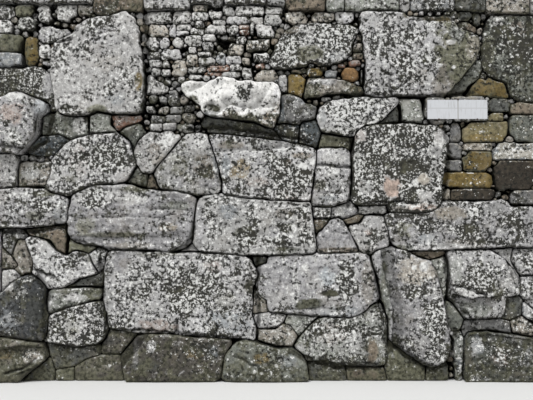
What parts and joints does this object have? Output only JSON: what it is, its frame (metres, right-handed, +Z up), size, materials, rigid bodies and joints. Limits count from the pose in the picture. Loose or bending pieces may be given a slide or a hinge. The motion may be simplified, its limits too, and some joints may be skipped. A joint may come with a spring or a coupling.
{
  "type": "dry stone wall",
  "caption": "Straight stretch of massive dry stone wall: large irregular fitted blocks, small packing stones, rubble core, and a bare plate on the face.",
  "frame": {"origin": "on the floor, at the middle of the foot in length and thickness", "axes": "+X along the wall, the seen face looks towards -Y, +Z up"},
  "size_m": [5.16, 1.2886, 3.3465],
  "materials": {
    "pale_stone": "weathered, speckled with pale and dark lichen",
    "grey_stone": "weathered, rough",
    "mossy_stone": "damp, with a green film",
    "packing_stone": "rough, in shade",
    "ochre_stone": "iron-stained, rough",
    "white_stone": "pale, smooth-worn",
    "rubble": "loose rubble",
    "plate": "satin enamel, plain",
    "pin": "dull, slightly rusted"
  },
  "bodies": {
    "root": {"rubble_core": "rubble", "top_rubble": "packing_stone", "left_end": "grey_stone", "right_end": "grey_stone", "foot_boulder": "mossy_stone", "foot_wedge": "grey_stone", "foot_round": "mossy_stone", "foot_right": "grey_stone", "foot_stones": "mossy_stone", "left_boulder": "grey_stone", "stepped_block": "grey_stone", "waist_slab": "grey_stone", "mottled_block": "pale_stone", "great_block": "pale_stone", "middle_block": "pale_stone", "nosed_block": "grey_stone", "leaning_block": "grey_stone", "ledge_block": "grey_stone", "edge_blocks": "grey_stone", "lower_packing": "packing_stone", "left_bed_block": "grey_stone", "banded_block": "pale_stone", "middle_bed_block": "pale_stone", "pointed_block": "grey_stone", "shoulder_block": "grey_stone", "long_right_block": "grey_stone", "middle_packing": "packing_stone", "round_block": "pale_stone", "slanted_block": "grey_stone", "narrow_block": "grey_stone", "broad_block": "pale_stone", "cracked_block": "grey_stone", "square_block": "pale_stone", "right_packing": "ochre_stone", "pale_boulder": "pale_stone", "arched_block": "grey_stone", "upper_left_slab": "pale_stone", "white_block": "white_stone", "grey_block": "grey_stone", "lichen_block": "pale_stone", "low_block": "grey_stone", "speckled_block": "pale_stone", "upper_right_block": "pale_stone", "far_right_block": "mossy_stone", "upper_packing": "packing_stone", "rubble_panel": "packing_stone", "levelling_course": "grey_stone", "back_low_courses": "grey_stone", "back_tall_courses": "pale_stone", "plaque": "plate", "plaque_pins": "pin"}
  },
  "joints": []
}
